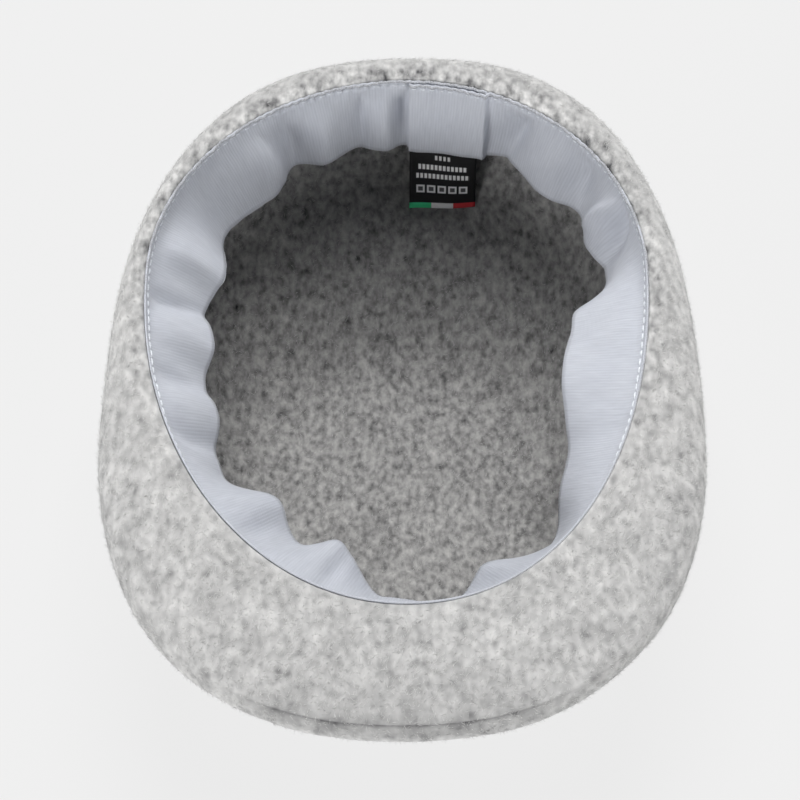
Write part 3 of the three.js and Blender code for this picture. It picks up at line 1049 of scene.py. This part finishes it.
def stitches():
    """Stitches along the sewn edge, half sunk into the ribbon. At the back they are longer on the left than
    on the right, and along the sides they are longest and thickest."""
    bm = bmesh.new()
    count = round(SEAM_LENGTH / STITCH_PITCH)
    draw = random.Random(5)
    for number in range(count):
        share = BAND_END - (number + 0.5) / count
        length = mix(STITCH_LONG, STITCH_SHORT, smooth(0.4, 0.6, share % 1))
        length = mix(STITCH_SIDE, length, at_back(share)) * draw.uniform(0.85, 1.1)
        thick = mix(STITCH_THICK_SIDE, STITCH_THICK, at_back(share))
        down_band = stitch_line(share) + draw.uniform(-0.15, 0.15) * MM
        half = length / 2 / SEAM_LENGTH
        here = band_surface(share - half, down_band, -STITCH_PROUD)
        there = band_surface(share + half, down_band, -STITCH_PROUD)
        turn = (there - here).to_track_quat("X", "Z").to_matrix().to_4x4()
        size = Matrix.Diagonal((length, thick, thick, 1))
        place = Matrix.Translation((here + there) / 2) @ turn @ size
        bmesh.ops.create_uvsphere(bm, u_segments=8, v_segments=6, radius=0.5, matrix=place)
    piece("sweatband_stitches", bm, wool("stitch_thread", (0.8, 0.83, 0.87)))


# The label, a tape that hangs behind the sweatband


def label_point(aside, down_label, wall):
    """aside is across the label from its middle, towards the right of one who looks at it."""
    share = 1 - (LABEL_OFFSET + aside) / SEAM_LENGTH
    length = BAND_STAND + FELT + GAP + down_label
    front = band_point(share, min(length, BAND_WIDTH), -GAP)
    free = max(length - BAND_WIDTH, 0)
    twist = LABEL_TWIST * -aside / (LABEL_WIDTH / 2)
    lean = band_lean(share) + (LABEL_LEAN + twist) * min(free / BAND_BEND, 1)
    outward = tilted(0, math.cos(lean), math.sin(lean))
    place = front + tilted(0, -free * math.sin(lean), -free * math.cos(lean))
    hit = wall.ray_cast(SETTLE @ (place - outward * BAND_WIDTH), outward)
    room = hit[3] - BAND_WIDTH - LABEL_THICKNESS - GAP
    return place + outward * (min(room, 0) + LABEL_THICKNESS / 2)


def woven_label(wall):
    bm = bmesh.new()
    uv = bm.loops.layers.uv.new("cloth")
    bmesh.ops.create_grid(bm, x_segments=20, y_segments=46, size=0.5)
    for face in bm.faces:
        for loop in face.loops:
            loop[uv].uv = (loop.vert.co.x * LABEL_WIDTH, (loop.vert.co.y + 0.5) * LABEL_LENGTH)
    for vert in bm.verts:
        vert.co = label_point(vert.co.x * LABEL_WIDTH, (vert.co.y + 0.5) * LABEL_LENGTH, wall)
    made = piece("label_tape", bm, label_weave())
    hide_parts("woven_label")
    thickened(made, LABEL_THICKNESS, 0)
    return made


def felt_wall():
    """The felt's surface, which the label is held off."""
    bm = bmesh.new()
    bm.from_mesh(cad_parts["felt_body"].data)
    return surface_tree(bm)


def settled(outer):
    """The move from the middle of the opening to the floor under the cap, taken from the frame."""
    low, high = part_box("felt_body")
    reach = [point.y for ring in outer for point in ring]
    return Matrix.Translation((0, (low.y + high.y) / 2 - (min(reach) + max(reach)) / 2, CROWN_DEPTH))


OUTER = outer_sections()
SETTLE = settled(OUTER)

cap = felt_body(OUTER)
band = sweatband()
selvedges()
stitches()
label = woven_label(felt_wall())
in_front = [surface_tree(finished_mesh(made)) for made in (band, label)]
loose_fibres("pale_fibres", PALE_FIBRES, 3, (0.62, 0.62, 0.61), cap, in_front)
loose_fibres("dark_fibres", DARK_FIBRES, 4, (0.4, 0.4, 0.41), cap, in_front)
loose_fibres("roll_fibres", ROLL_FIBRES, 6, (0.74, 0.74, 0.73), cap, in_front, ROLL_RISES, on_roll)


# Floor, light and camera


def stage_piece(name, bm, glow, paint):
    material, _, _, surface = shader(name)
    adjust(surface, {"Base Color": (paint, paint, paint, 1), "Roughness": 1, "Specular IOR Level": 0})
    adjust(surface, {"Emission Color": (1, 1, 1, 1), "Emission Strength": glow})
    mesh = bpy.data.meshes.new(name)
    bm.to_mesh(mesh)
    bm.free()
    mesh.materials.append(material)
    made = bpy.data.objects.new(name, mesh)
    bpy.context.scene.collection.objects.link(made)
    return made


def studio_room():
    """A pale floor that glows a little, so that shadows on it stay faint, and a plain wall far round it."""
    bm = bmesh.new()
    bmesh.ops.create_grid(bm, x_segments=1, y_segments=1, size=ROOM_RADIUS)
    stage_piece("floor", bm, FLOOR_GLOW, FLOOR_PAINT)
    bm = bmesh.new()
    bmesh.ops.create_cone(
        bm, cap_ends=False, segments=48, radius1=ROOM_RADIUS, radius2=ROOM_RADIUS, depth=2 * ROOM_RADIUS)
    wall = stage_piece("wall", bm, WALL_GLOW, 0)
    wall.visible_diffuse = False
    wall.visible_glossy = False


def area_light(name, place, size, power):
    light = bpy.data.lights.new(name, "AREA")
    light.shape = "RECTANGLE"
    light.size, light.size_y = size
    light.energy = power
    made = bpy.data.objects.new(name, light)
    made.location = place
    made.rotation_euler = (Vector(place) - Vector(LIGHT_AIM)).to_track_quat("Z", "Y").to_euler()
    made.visible_camera = False
    bpy.context.scene.collection.objects.link(made)


def studio_lights():
    """One large soft light above and a little behind, and pale cards low in front that lift the shadows."""
    for row in LIGHTS:
        area_light(**row)
    world = bpy.data.worlds.new("studio")
    bpy.context.scene.world = world
    world.use_nodes = True
    world.node_tree.nodes["Background"].inputs["Strength"].default_value = 0
    bpy.context.scene.view_settings.view_transform = "Standard"


def photo_camera():
    camera = bpy.data.cameras.new("photo_camera")
    camera.sensor_width = SENSOR
    camera.lens = LENS
    camera.clip_start = 0.01
    made = bpy.data.objects.new("photo_camera", camera)
    aim = SETTLE @ tilted(0, VIEW_AIM, 0)
    back = tilted(0, -math.sin(VIEW_TILT), math.cos(VIEW_TILT))
    made.location = aim + back * VIEW_DISTANCE
    made.rotation_euler = back.to_track_quat("Z", "Y").to_euler()
    bpy.context.scene.collection.objects.link(made)
    bpy.context.scene.camera = made


studio_room()
studio_lights()
photo_camera()
